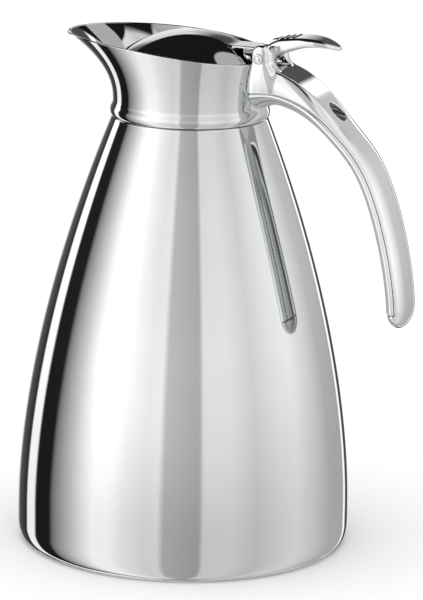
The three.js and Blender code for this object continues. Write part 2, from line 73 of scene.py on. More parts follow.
PIN = dict(x=34.4, z=210, radius=1.5, bore=1.8, head=2.1)
EAR = dict(inner=6.5, outer=13.5, radius=4.1, x=35.3, rise=1.6, foot=195, edge=1.5)
EAR_SLOPE = dict(spread=0.03, lean=0.06)
EAR_CHAMFER = dict(back=0.74, side=0.67, depth=1.7, edge=1.2)
BARREL = dict(radius=3.3, half_length=6.1)
SPRING = dict(coil=2.45, wire=0.3, turns=4.25, half_length=2, room=3.4, half_room=2.7)
SPRING_LEG = dict(front=6, down=4.1)
DOME = dict(radius=29.8, skirt=204.8, edge=206.6, top=217.4, wall=0.8)
TAB = dict(half_width=6, top=213.5, underside=212.3, front=16, end=30, lug=1.7)
LID_NOTCH = dict(front=20, slope=5 / 12, evened=0.92)  # evened for the slope of its sides
BOSS = dict(radius=3.4, bottom=207.2, top=217, hole_top=214.4)
RIVET = dict(x=27.3, z=208.6, radius=0.9, head=1.3, lug=2.2)
TONGUE = dict(start=24.6, half_width=4, bottom=207, top=210.8)
SCREW = dict(y=7, z=199, radius=1.5, bore=1.8, head=2.2, start=28.8, end=41.5)
INLAY = dict(share=0.285, radius=4.4, tilt=16, recess=1.8, top=0.6, bottom=1.5)
RIDGE = dict(x=41.5, z=217, pitch=2.5, rise=0.4, count=3, radius=1.1, half_length=4.6)

# The handle's middle line in the plane y = 0, as [x, z], from the collar to the open end.
HANDLE_LINE = [
    [28, 197.6], [38, 197.7], [47.2, 195], [56.2, 189.8], [65.6, 181.7],
    [76.4, 170], [86, 150], [91.4, 130], [94.2, 112], [94.8, 101],
]
GRIP = dict(thick=4.5, wide=12.8, root_thick=3.95, root_wide=0.3, power=2.1, end=9)
SEAM = dict(grip=1, root=-2.8)
# Shares of the handle's length at which what is special to its root has died out.
DIES = dict(thick=0.34, wide=0.2, flat=0.42, seam=0.3)
FLARE = dict(depth=2.4, share=0.12)
STRIP = dict(end=0.945, seam=0.03, end_gap=0.1, edge=1.1)
CLOSE_FIT = 0.08
LEVER_POWER = 3
LEVER_ENDS = (33.5, 65.6)
LEVER_CROWN = 1.2

# The thumb lever's leaf, as [x, half width, top, bottom].
LEVER_STATIONS = [
    [33.6, 5.8, 213.6, 209.4], [36.5, 6, 215.6, 208.4], [39.5, 6.1, 217.1, 210.1],
    [43, 6.4, 217.9, 211.6], [47, 6.8, 218.5, 213.1], [51, 7, 218.8, 214.3],
    [55, 6.7, 218.6, 214.8], [59, 5.6, 217.9, 214.8], [62.5, 3.9, 216.7, 214.4],
    [65.4, 1.6, 215.4, 213.9],
]

# ------------------------------ small maths


def mix(a, b, t):
    return a + (b - a) * t


def smooth(t):
    t = np.clip(t, 0, 1)
    return t * t * (3 - 2 * t)


def natural_spline(knots, values, at):
    """A curve with even bending through the values at the knots, read at `at`."""
    knots = np.asarray(knots, float)
    values = np.asarray(values, float).reshape(len(knots), -1)
    gaps = np.diff(knots)
    system = np.eye(len(knots))
    target = np.zeros_like(values)
    for i in range(1, len(knots) - 1):
        system[i, i - 1 : i + 2] = [gaps[i - 1], 2 * (gaps[i - 1] + gaps[i]), gaps[i]]
        after = (values[i + 1] - values[i]) / gaps[i]
        before = (values[i] - values[i - 1]) / gaps[i - 1]
        target[i] = 6 * (after - before)
    bend = np.linalg.solve(system, target)
    at = np.clip(np.asarray(at, float), knots[0], knots[-1])
    i = np.clip(np.searchsorted(knots, at, side="right") - 1, 0, len(gaps) - 1)
    gap = gaps[i][..., None]
    right = (at - knots[i])[..., None] / gap
    left = 1 - right
    curve = left * values[i] + right * values[i + 1]
    curve += ((left**3 - left) * bend[i] + (right**3 - right) * bend[i + 1]) * gap**2 / 6
    return curve


def unit(vectors):
    return vectors / np.linalg.norm(vectors, axis=-1, keepdims=True)


def circle(count):
    """Even angles round a circle."""
    return np.arange(count) / count * 2 * math.pi


def chord_lengths(points):
    steps = np.linalg.norm(np.diff(np.asarray(points, float), axis=0), axis=1)
    return np.concatenate([[0], np.cumsum(steps)])


# Signed distances are negative inside. These two meet in a round edge and in a round fillet.


def round_max(a, b, radius):
    outside = np.hypot(np.maximum(a + radius, 0), np.maximum(b + radius, 0))
    return np.minimum(np.maximum(a, b), -radius) + outside


def round_min(a, b, radius):
    return -round_max(-a, -b, radius)


def slab(value, low, high):
    return np.maximum(low - value, value - high)


def section_size(across, up, half_across, half_up, power):
    """How large a point is against an outline between an ellipse and a rectangle, 1 being on
    it, and how fast that grows with distance."""
    a = np.abs(across / half_across)
    b = np.abs(up / half_up)
    size = np.maximum((a**power + b**power) ** (1 / power), 1e-3)
    slope = np.hypot((a / size) ** (power - 1) / half_across, (b / size) ** (power - 1) / half_up)
    return size, np.maximum(slope, 1e-3)


def rounded_section(across, up, half_across, half_up, power):
    """Roughly the distance to such an outline."""
    size, slope = section_size(across, up, half_across, half_up, power)
    return (size - 1) / slope


# ------------------------------ meshes

SHARP_ANGLE = 38
ARC_POINTS = 6
SLOPE_REACH = 0.04


def add_object(name, data):
    made = bpy.data.objects.new(name, data)
    bpy.context.scene.collection.objects.link(made)
    return made


def make_mesh(name, points, faces, normals=None):
    """An object from points in millimetres, facing outwards and shaded smooth."""
    points = np.asarray(points, float) * MM
    if enclosed_volume(points, faces) < 0:
        faces = [tuple(reversed(face)) for face in faces]
    mesh = bpy.data.meshes.new(name)
    mesh.from_pydata(points.tolist(), [], [tuple(map(int, face)) for face in faces])
    mesh.validate()
    mesh.shade_smooth()
    if normals is None:
        mesh.set_sharp_from_angle(angle=math.radians(SHARP_ANGLE))
    else:
        mesh.normals_split_custom_set_from_vertices(normals.tolist())
    return add_object(name, mesh)


def enclosed_volume(points, faces):
    volume = 0
    for size in (3, 4):
        group = np.array([face for face in faces if len(face) == size], int).reshape(-1, size)
        for k in range(1, size - 1):
            a, b, c = points[group[:, 0]], points[group[:, k]], points[group[:, k + 1]]
            volume += np.einsum("ij,ij->", a, np.cross(b, c))
    return volume


def rounded(outline, radius):
    """A closed outline whose corners are turned into arcs, smaller where the sides are short.
    Corners on the axis stay sharp."""
    result = []
    count = len(outline)
    for i in range(count):
        corner = np.array(outline[i], float)
        before = np.array(outline[i - 1], float) - corner
        after = np.array(outline[(i + 1) % count], float) - corner
        shorter = min(np.linalg.norm(before), np.linalg.norm(after))
        before = unit(before)
        after = unit(after)
        half = math.acos(np.clip(before @ after, -1, 1)) / 2
        if corner[0] < 1e-6 or half > math.radians(85):
            result.append(corner)
            continue
        reach = min(radius / math.tan(half), 0.45 * shorter)
        size = reach * math.tan(half)
        centre = corner + unit(before + after) * size / math.sin(half)
        start = corner + before * reach - centre
        end = corner + after * reach - centre
        for share in np.linspace(0, 1, ARC_POINTS):
            result.append(centre + unit(mix(start, end, share)) * size)
    return result


def wall_of(line, thickness):
    """A wall of even thickness under an open [radius, height] line that runs upwards."""
    line = np.asarray(line, float)
    along = unit(np.gradient(line, axis=0))
    inside = line + np.stack([-along[:, 1], along[:, 0]], 1) * thickness
    inside[:, 0] = np.maximum(inside[:, 0], 0)
    return [*line, *inside[::-1]]


def lathe(name, outline, segments=192, place=None):
    """Turns a closed [radius, height] outline round the Z axis; place then moves the points."""
    points = []
    rings = []
    for radius, height in outline:
        first = len(points)
        if radius < 1e-6:
            points.append([0, 0, height])
            rings.append([first] * segments)
            continue
        for angle in circle(segments):
            points.append([radius * math.cos(angle), radius * math.sin(angle), height])
        rings.append(list(range(first, first + segments)))
    faces = []
    for ring, following in zip(rings, rings[1:] + rings[:1]):
        for j in range(segments):
            k = (j + 1) % segments
            corners = [ring[j], ring[k], following[k], following[j]]
            face = list(dict.fromkeys(corners))
            if len(face) > 2:
                faces.append(face)
    points = np.array(points)
    return make_mesh(name, points if place is None else place(points), faces)


def loft(name, rings, joined=False):
    """Skins rings of equal point count. The end rings are joined, or each closed with a fan."""
    rings = np.asarray(rings, float)
    rows, count = rings.shape[:2]
    points = list(rings.reshape(-1, 3))
    faces = []
    for i in range(rows if joined else rows - 1):
        for j in range(count):
            k = (j + 1) % count
            n = (i + 1) % rows
            faces.append([i * count + j, i * count + k, n * count + k, n * count + j])
    if not joined:
        for row, turned in ((0, True), (rows - 1, False)):
            centre = len(points)
            points.append(rings[row].mean(axis=0))
            for j in range(count):
                edge = [row * count + j, row * count + (j + 1) % count]
                faces.append([centre, *(reversed(edge) if turned else edge)])
    return make_mesh(name, points, faces)


def slope_of(distance, points):
    """The gradient of a distance at each point."""
    slopes = []
    for axis in range(3):
        offset = np.zeros(3)
        offset[axis] = SLOPE_REACH
        ahead = distance(*(points + offset).T)
        behind = distance(*(points - offset).T)
        slopes.append((ahead - behind) / (2 * SLOPE_REACH))
    return np.stack(slopes, 1)


def carve(name, distance, low, high, step):
    """Meshes the surface where a signed distance is zero, with the surface's own normals."""
    starts = np.array(low, float) - 2 * step
    axes = [np.arange(a, b + 2.5 * step, step) for a, b in zip(starts, high)]
    shape = tuple(len(axis) for axis in axes)
    field = np.broadcast_to(distance(*np.ix_(*axes)), shape)
    inside = field < 0
    total = np.zeros(shape + (3,))
    count = np.zeros(shape)
    quads = []
    for axis in range(3):
        first = tuple(slice(0, -1) if a == axis else slice(None) for a in range(3))
        second = tuple(slice(1, None) if a == axis else slice(None) for a in range(3))
        cells = np.stack(np.nonzero(inside[first] != inside[second]), 1)
        a = field[first][tuple(cells.T)]
        b = field[second][tuple(cells.T)]
        crossing = cells.astype(float)
        crossing[:, axis] += a / (a - b)
        round_the_edge = []
        for shift in ((0, 0), (-1, 0), (-1, -1), (0, -1)):
            cell = cells.copy()
            cell[:, (axis + 1) % 3] += shift[0]
            cell[:, (axis + 2) % 3] += shift[1]
            np.add.at(total, tuple(cell.T), crossing)
            np.add.at(count, tuple(cell.T), 1)
            round_the_edge.append(cell)
        turned = a > 0
        round_the_edge = np.stack(round_the_edge, 1)
        round_the_edge[turned] = round_the_edge[turned][:, ::-1]
        quads.append(round_the_edge)
    used = count > 0
    number = np.full(shape, -1)
    number[used] = np.arange(used.sum())
    points = starts + step * total[used] / count[used][:, None]
    for _ in range(3):
        slope = slope_of(distance, points)
        steepness = np.maximum((slope**2).sum(1), 0.2)
        move = slope * (distance(*points.T) / steepness)[:, None]
        points -= np.clip(move, -step / 2, step / 2)
    normals = slope_of(distance, points)
    normals /= np.maximum(np.linalg.norm(normals, axis=1), 1e-9)[:, None]
    faces = number[tuple(np.moveaxis(np.concatenate(quads), 2, 0))]
    return make_mesh(name, points, faces.tolist(), normals)


# ------------------------------ materials


def new_shader(name, **inputs):
    """A material, its node tree and its Principled shader."""
    made = bpy.data.materials.new(name)
    made.use_nodes = True
    tree = made.node_tree
    return made, tree, set_inputs(tree, tree.nodes["Principled BSDF"], **inputs)


def add_node(tree, kind, **inputs):
    return set_inputs(tree, tree.nodes.new("ShaderNode" + kind), **inputs)


def set_inputs(tree, node, **inputs):
    """Sets a node's sockets, or links them where the input is another node's output."""
    for name, value in inputs.items():
        fill(tree, node.inputs[name.replace("_", " ")], value)
    return node


def fill(tree, socket, value):
    if isinstance(value, bpy.types.NodeSocket):
        tree.links.new(value, socket)
    else:
        socket.default_value = value


def math_node(tree, operation, *values):
    node = add_node(tree, "Math")
    node.operation = operation
    for socket, value in zip(node.inputs, values):
        fill(tree, socket, value)
    return node.outputs[0]


def ramp_node(tree, value, stops):
    """Colours between stops, each a position from 0 to 1 with its colour."""
    ramp = add_node(tree, "ValToRGB", Fac=value)
    elements = ramp.color_ramp.elements
    while len(elements) < len(stops):
        elements.new(0.5)
    for element, (position, color) in zip(elements, stops):
        element.position = position
        element.color = (*color, 1)
    return ramp.outputs["Color"]


def noise(tree, stretch, detail=3.0, roughness=0.55):
    """Noise over the object's own coordinates, with a number of waves per metre on each axis."""
    coordinates = add_node(tree, "TexCoord").outputs["Object"]
    place = add_node(tree, "Mapping", Vector=coordinates, Scale=stretch).outputs["Vector"]
    texture = add_node(tree, "TexNoise", Vector=place, Scale=1, Detail=detail, Roughness=roughness)
    return texture.outputs["Fac"]


def spread(tree, value, low, high):
    """Maps the middle of a noise's range to the range low to high."""
    start, end = NOISE_MIDDLE
    node = add_node(
        tree, "MapRange", Value=value, From_Min=start, From_Max=end, To_Min=low, To_Max=high
    )
    return node.outputs["Result"]


def tint(tree, value, dark, light):
    """A colour between dark and light, by a noise."""
    return ramp_node(tree, value, list(zip(NOISE_MIDDLE, (dark, light))))


def bump(tree, height, depth):
    """The normal of a relief of a depth in metres."""
    return add_node(tree, "Bump", Strength=1, Distance=depth, Height=height).outputs["Normal"]


def metal(name, dark, light, smudges, lines, line_depth, rough):
    """Metal with fine tool lines, and soft smudges that change its gloss.
    lines is the number of waves per metre on each axis, so it sets which way the lines run."""
    made, tree, shader = new_shader(name, Metallic=1.0)
    patches = noise(tree, (smudges,) * 3, detail=4)
    hairlines = noise(tree, lines, detail=2, roughness=0.7)
    color = tint(tree, patches, dark, light)
    both = math_node(tree, "MULTIPLY_ADD", hairlines, LINE_GLOSS, spread(tree, patches, *SMUDGE_GLOSS))
    gloss = spread(tree, both, *rough)
    relief = bump(tree, hairlines, line_depth)
    set_inputs(tree, shader, Base_Color=color, Roughness=gloss, Normal=relief)
    return made


def grained_plastic(name, dark, light, grain, depth, rough, subsurface=0.0):
    """Moulded plastic or rubber with a fine grain and slightly uneven gloss."""
    made, tree, shader = new_shader(name, Subsurface_Weight=subsurface)
    fine = noise(tree, (grain,) * 3, detail=5, roughness=0.65)
    broad = noise(tree, (PLASTIC_PATCHES,) * 3, detail=2)
    color = tint(tree, broad, dark, light)
    gloss = spread(tree, fine, *rough)
    set_inputs(tree, shader, Base_Color=color, Roughness=gloss, Normal=bump(tree, fine, depth))
    return made


NOISE_MIDDLE = (0.3, 0.7)
SMUDGE_GLOSS = (0.1, 0.5)
LINE_GLOSS = 0.4
PLASTIC_PATCHES = 70
TURNED = (14, 14, 1900)

# Dark and light colours, smudges and tool lines in waves per metre, the lines' depth in metres,
# and the range of roughness.
METALS = {
    "sheet_mirror": ((0.63, 0.64, 0.645), (0.67, 0.68, 0.685), 22, TURNED, 5e-7, (0.02, 0.07)),
    "collar_mirror": ((0.63, 0.64, 0.645), (0.67, 0.68, 0.685), 30, TURNED, 2e-7, (0.012, 0.035)),
    "cast_chrome": ((0.74, 0.75, 0.755), (0.79, 0.8, 0.805), 45, (160, 60, 160), 6e-6, (0.02, 0.06)),
    "satin_sheet": ((0.56, 0.57, 0.58), (0.64, 0.65, 0.66), 35, (20, 20, 2600), 2e-6, (0.2, 0.34)),
    "turned_steel": ((0.66, 0.67, 0.68), (0.74, 0.75, 0.76), 120, (2600, 60, 2600), 1e-6, (0.1, 0.2)),
    "spring_wire": ((0.42, 0.43, 0.45), (0.56, 0.57, 0.58), 400, (900, 2400, 900), 2e-6, (0.18, 0.32)),
    "braze": ((0.42, 0.26, 0.11), (0.6, 0.4, 0.19), 900, (1500,) * 3, 2e-5, (0.25, 0.5)),
}

# Dark and light colours, grain in waves per metre and its depth in metres, the range of
# roughness, and how much light goes under the surface.
PLASTICS = {
    "black_plastic": ((0.012, 0.012, 0.013), (0.02, 0.021, 0.023), 2600, 3e-5, (0.38, 0.55)),
    "gloss_black": ((0.01, 0.01, 0.011), (0.018, 0.019, 0.02), 1800, 2e-6, (0.06, 0.14)),
    "silicone": ((0.6, 0.58, 0.53), (0.68, 0.66, 0.61), 1500, 8e-6, (0.5, 0.68), 0.25),
    "foam": ((0.7, 0.67, 0.58), (0.8, 0.78, 0.7), 900, 2.5e-4, (0.85, 0.98)),
}


def make_materials():
    metals = {name: metal(name, *values) for name, values in METALS.items()}
    plastics = {name: grained_plastic(name, *values) for name, values in PLASTICS.items()}
    return metals | plastics


# ------------------------------ casing, base and flask


def body_radius(z):
    ahead = np.asarray(z, float) - BODY["belly"]
    ahead = (ahead + np.sqrt(ahead**2 + BODY["ease"] ** 2)) / 2
    climbed = ahead / (BODY["neck"] - BODY["belly"])
    return BODY["radius"] - (BODY["radius"] - BODY["neck_radius"]) * climbed ** BODY["curve"]


def casing_line(low, high, steps, inset=0):
    heights = np.linspace(low, high, steps + 1)
    return [[body_radius(z) - inset, z] for z in heights]


def arc(radius, height, across, up, angles):
    """Part of an ellipse, by angles in degrees. At 0 it runs straight up through the radius and
    height given."""
    turns = np.radians(angles)
    return [[radius - across * (1 - math.cos(a)), height + up * math.sin(a)] for a in turns]


def outer_casing():
    lip = FLASK["lip_radius"]
    neck = BODY["neck"]
    foot = arc(body_radius(FOOT["top"]), FOOT["top"], FOOT["inset"], FOOT["drop"], range(-72, 0, 9))
    bend = neck - NECK_BEND
    turned_in = arc(body_radius(bend), bend, NECK_BEND, NECK_BEND, np.linspace(0, 75, 5))
    top = [[lip + 1.6, neck + 0.05], [lip + 0.3, neck + 0.5], [lip, neck + 1.2]]
    line = foot + casing_line(FOOT["top"], neck - 1.2, 120) + turned_in + top
    line += [[lip, mix(neck + 1.2, FLASK["lip"] - GAP, i / 3)] for i in range(1, 4)]
    return lathe("outer_casing", wall_of(line, STEEL), segments=256)


def base_cup():
    outline = [
        [0, 0], [22, 0], [24, 0.5], [58, 0.5], [60, 0], [66.9, 0], [67.6, 0.4],
        [67.6, 1.2], [66.6, 1.3], [66.6, 2.7], [65.8, 2.7], [65.6, 1.3], [0, 1.3],
    ]
    return lathe("base_cup", rounded(outline, 0.5), segments=256)


def flask_lining():
    floor = FLASK["floor"]
    neck = FLASK["neck_radius"]
    knots = [[0, floor], [48, floor], [56, floor + 1.6], [61, floor + 5.6], [63.2, floor + 11.6]]
    knots += casing_line(34, BODY["neck"] - 1, 6, FLASK["vacuum_gap"])
    knots = np.array(knots)
    lengths = chord_lengths(knots)
    even = np.linspace(lengths[1], lengths[-1], 90)
    curve = natural_spline(lengths[1:], knots[1:], even)
    line = [[0, floor], [24, floor], *curve]
    flare = FLASK["lip"] - 1.6
    line += [[neck, BODY["neck"] + 1.4], [neck, BODY["neck"] + 3], [neck, flare]]
    line += arc(neck, flare, -1.8, 1.6, range(18, 91, 18))
    line.append([FLASK["lip_radius"], FLASK["lip"]])
    return lathe("flask_lining", wall_of(line, FINE_STEEL))


def mouth_seat():
    outline = [
        [24.9, 190.4], [31, 190.4], [31, 193], [30.2, 193], [27.8, 191.6],
        [25.4, 191.6], [24.9, 191.2],
    ]
    return lathe("mouth_seat", rounded(outline, 0.6))


# ------------------------------ pouring collar


def rim_point(angle):
    """The rim is round behind, and is drawn out smoothly to the spout."""
    toward_spout = ((1 - math.cos(angle)) / 2) ** SPOUT_SHARPNESS
    x = COLLAR["back"] * math.cos(angle) - (COLLAR["reach"] - COLLAR["back"]) * toward_spout
    length = COLLAR["back"] + COLLAR["reach"]
    height = COLLAR["tip"] - COLLAR["drop"] * ((x + COLLAR["reach"]) / length) ** 2
    return np.array([x, COLLAR["back"] * math.sin(angle), height])


def rim_outward(angle):
    step = rim_point(angle + 1e-3) - rim_point(angle - 1e-3)
    return unit(np.array([step[1], -step[0], 0]))


def collar_point(angle, share, inset=0.0, lowered=0.0):
    """A point of the collar's outer face: share 0 is the waist and 1 is the rim."""
    rim = rim_point(angle)
    waist = np.array([math.cos(angle), math.sin(angle), 0]) * COLLAR["radius"]
    point = mix(waist, rim, share ** COLLAR["flare"]) - rim_outward(angle) * inset
    point[2] = mix(COLLAR["waist"], rim[2] - lowered, share)
    return point


def notch_depth(angle):
    """How far the rim is cut down behind, where the lever and the lid's tab pass over it."""
    off_centre = abs((angle + math.pi) % (2 * math.pi) - math.pi)
    edge = math.radians(0.35)
    inside = smooth((NOTCH_HALF_ANGLE + edge - off_centre) / (2 * edge))
    return float(inside) * (rim_point(angle)[2] - SLOT["floor"])


def collar_angles():
    """Even steps round the collar, with a few more at the sides of the notch."""
    extra = []
    for side in (-1, 1):
        for k in range(-4, 5):
            extra.append((side * (NOTCH_HALF_ANGLE + math.radians(0.12 * k))) % (2 * math.pi))
    kept = [a for a in circle(216) if min(abs(a - b) for b in extra) > math.radians(0.6)]
    return sorted(kept + extra)


def pouring_collar():
    bead = [
        [31.6, 181.74], [32.5, 181.86], [32.95, 182.3], [33.2, 183.2], [33.25, 184.2],
        [33.15, 185.1], [32.9, 185.8], [32.6, 186.4], [32.36, 187], [32.22, 187.5],
    ]
    ledge = [[31.3, 0.15], [31.15, 0], [30.75, 0], [30.6, -0.15]]
    inside = [[radius, COLLAR_LEDGE + height] for radius, height in ledge] + [[30.6, 181.95]]
    shares = np.concatenate([np.linspace(0, 0.92, 24), [0.95, 0.975, 0.99]])
    rings = []
    for angle in collar_angles():
        lowered = notch_depth(angle)
        spoke = np.array([math.cos(angle), math.sin(angle), 0])
        turned = [spoke * radius + UP * height for radius, height in bead]
        outer = [collar_point(angle, share, 0, lowered) for share in shares]
        middle = collar_point(angle, 1, COLLAR_WALL / 2, lowered)
        outward = rim_outward(angle)
        lip = []
        for turn in np.linspace(0, math.pi, 7):
            spread_out = outward * math.cos(turn) + UP * (math.sin(turn) - 1)
            lip.append(middle + spread_out * COLLAR_WALL / 2)
        inner = [collar_point(angle, share, COLLAR_WALL, lowered) for share in shares[::-1]]
        inner = [point for point in inner if point[2] > COLLAR_LEDGE + 0.4]
        inner = inner[: len(shares) - 4]  # as many in every ring
        bottom = [spoke * radius + UP * height for radius, height in inside]
        rings.append(turned + outer + lip + inner + bottom)
    return loft("pouring_collar", rings, joined=True)


# ------------------------------ handle

LINE_STEP = 0.1
LINE_OVERRUN = 12
COARSE_STEP = 8
CASTING_STEP = 0.45
# The neck and its bead behind, and a place over the collar, as [height, radius].
NECK_BACK = [[170, 32.9], [184.3, 33.3]]
ABOVE_COLLAR = [216, 34]


def read_line(at, known, values):
    """A line's points or directions between the lengths at which they are known."""
    return np.stack([np.interp(at, known, column) for column in values.T], -1)


def sample_handle_line():
    """Points and directions along the handle's middle line, carried on straight at both ends."""
    knots = np.array(HANDLE_LINE, float)
    lengths = chord_lengths(knots)
    dense = natural_spline(lengths, knots, np.linspace(0, lengths[-1], 2000))
    along = chord_lengths(dense)
    total = along[-1]
    even = np.arange(0, total, LINE_STEP)
    points = np.concatenate([read_line(even, along, dense), dense[-1:]])
    even = np.append(even, total)
    ahead = points[-1] - points[-2]
    behind = points[0] - points[1]
    first = points[:1] + LINE_OVERRUN * unit(behind)
    last = points[-1:] + LINE_OVERRUN * unit(ahead)
    points = np.concatenate([first, points, last])
    even = np.concatenate([[-LINE_OVERRUN], even, [total + LINE_OVERRUN]])
    at = np.arange(-LINE_OVERRUN, total + LINE_OVERRUN, LINE_STEP)
    points = read_line(at, even, points)
    return at, points, unit(np.gradient(points, axis=0)), total


LINE_AT, LINE_POINTS, LINE_DIRECTIONS, HANDLE_LENGTH = sample_handle_line()


def handle_coordinates(x, z):
    """Distance along the handle and height off its middle line, for points in the plane y = 0."""
    x, z = np.broadcast_arrays(x, z)
    shape = x.shape
    flat = np.stack([x.ravel(), z.ravel()], 1)
    coarse = LINE_POINTS[::COARSE_STEP]
    nearest = np.empty(len(flat), int)
    chunk = 20000
    for start in range(0, len(flat), chunk):
        part = flat[start : start + chunk]
        apart = (part[:, None, 0] - coarse[None, :, 0]) ** 2
        apart += (part[:, None, 1] - coarse[None, :, 1]) ** 2
        nearest[start : start + chunk] = apart.argmin(1)
    along = LINE_AT[::COARSE_STEP][nearest]
    for _ in range(4):
        centre = read_line(along, LINE_AT, LINE_POINTS)
        tangent = read_line(along, LINE_AT, LINE_DIRECTIONS)
        offset = flat - centre
        along = along + (offset * tangent).sum(1)
    height = offset[:, 1] * tangent[:, 0] - offset[:, 0] * tangent[:, 1]
    return along.reshape(shape), height.reshape(shape)


def handle_size(share):
    """Half thickness above and below the middle line, half width, and how far above the flat
    the back's curve would reach."""
    thick = GRIP["thick"] + GRIP["root_thick"] * smooth(1 - share / DIES["thick"])
    below = thick + FLARE["depth"] * smooth(1 - share / FLARE["share"])
    wide = GRIP["wide"] + GRIP["root_wide"] * smooth(1 - share / DIES["wide"])
    crown = thick * mix(1, 2, smooth(1 - share / DIES["flat"]))
    return thick, below, wide, crown


def seam_height(share):
    """Height off the middle line of the seam between the casting and the strip under it."""
    return mix(SEAM["grip"], SEAM["root"], smooth(1 - share / DIES["seam"]))


def grip_distance(y, along, height):
    """The whole grip, casting and strip together, without the ears."""
    thick, below, wide, crown = handle_size(along / HANDLE_LENGTH)
    half_up = np.where(height > 0, crown, below)
    size, slope = section_size(y, height, wide, half_up, GRIP["power"])
    past = np.maximum(along - HANDLE_LENGTH + GRIP["end"], 0) / GRIP["end"]
    whole = np.hypot(size, past)
    slope = np.hypot(slope * size / whole, past / whole / GRIP["end"])
    return round_max((whole - 1) / slope, height - thick, 0.6)


def collar_clearance(x, y, z):
    """Positive outside the collar's back and the neck under it, which the handle hugs."""
    face = [*NECK_BACK, [COLLAR["waist"], COLLAR["radius"]]]
    for share in (0.25, 0.5, 0.75, 1):
        back = collar_point(0, share)
        face.append([back[2], back[0]])
    heights, radii = np.transpose([*face, ABOVE_COLLAR])
    return np.hypot(x, y) - np.interp(z, heights, radii) - CLOSE_FIT


def ear_distance(x, y, z):
    """The two cheeks that carry the hinge pin, with a broad chamfer on their rear edges."""
    top = PIN["z"] + EAR["rise"]
    below = np.maximum(top - z, 0)
    side = np.abs(y)
    leaning = side + EAR_SLOPE["lean"] * np.maximum(PIN["z"] - z, 0)
    widening = below * EAR_SLOPE["spread"]
    middle = EAR["x"] + widening
    upright = np.abs(x - middle) - EAR["radius"] - widening
    crown = np.hypot(x - EAR["x"], z - top) - EAR["radius"]
    outline = np.where(z > top, crown, upright)
    outline = np.maximum(outline, EAR["foot"] - z)
    cheek = np.maximum(EAR["inner"] - side, leaning - EAR["outer"])
    cheek = round_max(outline, cheek, EAR["edge"])
    behind = (x - middle - EAR["radius"]) * EAR_CHAMFER["back"]
    beside = (side - EAR["outer"]) * EAR_CHAMFER["side"]
    return round_max(cheek, behind + beside + EAR_CHAMFER["depth"], EAR_CHAMFER["edge"])


def casting_distance(x, y, z):
    along, height = handle_coordinates(x, z)
    solid = round_min(grip_distance(y, along, height), ear_distance(x, y, z), 4)
    slot = np.maximum(np.abs(y) - EAR["inner"], SLOT["floor"] - z)
    solid = round_max(solid, -np.maximum(slot, slab(x, SLOT["front"], SLOT["back"])), 0.3)
    under_seam = height - seam_height(along / HANDLE_LENGTH)
    strip_room = np.maximum(under_seam, along - STRIP["end"] * HANDLE_LENGTH)
    solid = round_max(solid, -strip_room, STRIP["edge"])
    solid = round_max(solid, -collar_clearance(x, y, z), 0.35)
    solid = np.maximum(solid, PIN["bore"] - np.hypot(x - PIN["x"], z - PIN["z"]))
    screw_hole = np.hypot(np.abs(y) - SCREW["y"], z - SCREW["z"]) - SCREW["bore"]
    solid = np.maximum(solid, -np.maximum(screw_hole, x - SCREW["end"] - 1))
    across, above = inlay_coordinates(x, z)
    recess = np.maximum(np.hypot(across, y) - INLAY["radius"] - 0.2, -INLAY["recess"] - above)
    return round_max(solid, -recess, 0.3)


def strip_distance(x, y, z):
    along, height = handle_coordinates(x, z)
    solid = grip_distance(y, along, height)
    under_seam = height - seam_height(along / HANDLE_LENGTH)
    solid = round_max(solid, under_seam + STRIP["seam"], STRIP["edge"])
    solid = round_max(solid, along - STRIP["end"] * HANDLE_LENGTH + STRIP["end_gap"], 0.5)
    return round_max(solid, -collar_clearance(x, y, z), 0.3)


def handle_casting():
    return carve("handle_casting", casting_distance, (30, -14, 99), (101, 14, 217), CASTING_STEP)


def handle_strip():
    return carve("handle_strip", strip_distance, (30, -14, 108), (95, 14, 197), CASTING_STEP)


def inlay_frame():
    """The middle of the inlay's seat, and the directions along it and out of it. The seat lies
    flatter than the handle's back, so its upper end is let in deeper."""
    at = INLAY["share"] * HANDLE_LENGTH
    point = read_line(at, LINE_AT, LINE_POINTS)
    forward = unit(read_line(at, LINE_AT, LINE_DIRECTIONS))
    top = handle_size(INLAY["share"])[0]
    middle = np.array([point[0] - forward[1] * top, 0, point[1] + forward[0] * top])
    tilt = math.radians(INLAY["tilt"]) + math.atan2(forward[1], forward[0])
    along = np.array([math.cos(tilt), 0, math.sin(tilt)])
    outward = np.array([-math.sin(tilt), 0, math.cos(tilt)])
    return middle, along, outward


def inlay_coordinates(x, z):
    middle, along, outward = inlay_frame()
    across = (x - middle[0]) * along[0] + (z - middle[2]) * along[2]
    above = (x - middle[0]) * outward[0] + (z - middle[2]) * outward[2]
    return across, above


def handle_disc():
    """A plain, slightly domed disc in its seat on the flat of the handle's back."""
    middle, along, outward = inlay_frame()
    profile = [[1, -INLAY["bottom"]], [1, -INLAY["top"] - 0.3]]
    for i in range(9):
        share = i / 9
        height = mix(-INLAY["top"] - 0.12, -INLAY["top"] + 0.35, share * (2 - share))
        profile.append([0.96 * (1 - share * share), height])
    angles = circle(72)
    edge = np.outer(np.cos(angles), along) + np.outer(np.sin(angles), [0, 1, 0])
    edge *= INLAY["radius"]
    return loft("handle_disc", [middle + outward * height + edge * size for size, height in profile])


def along_x(y, z):
    """Stands a lathed shape on the X axis, through a height and a side position."""
    return lambda points: points[:, [2, 0, 1]] + np.array([0, y, z])


def along_y(x, z, side=1):
    """Stands a lathed shape on a line along Y; side -1 turns it end for end."""
    return lambda points: np.stack([points[:, 0] + x, points[:, 2] * side, z - points[:, 1]], 1)


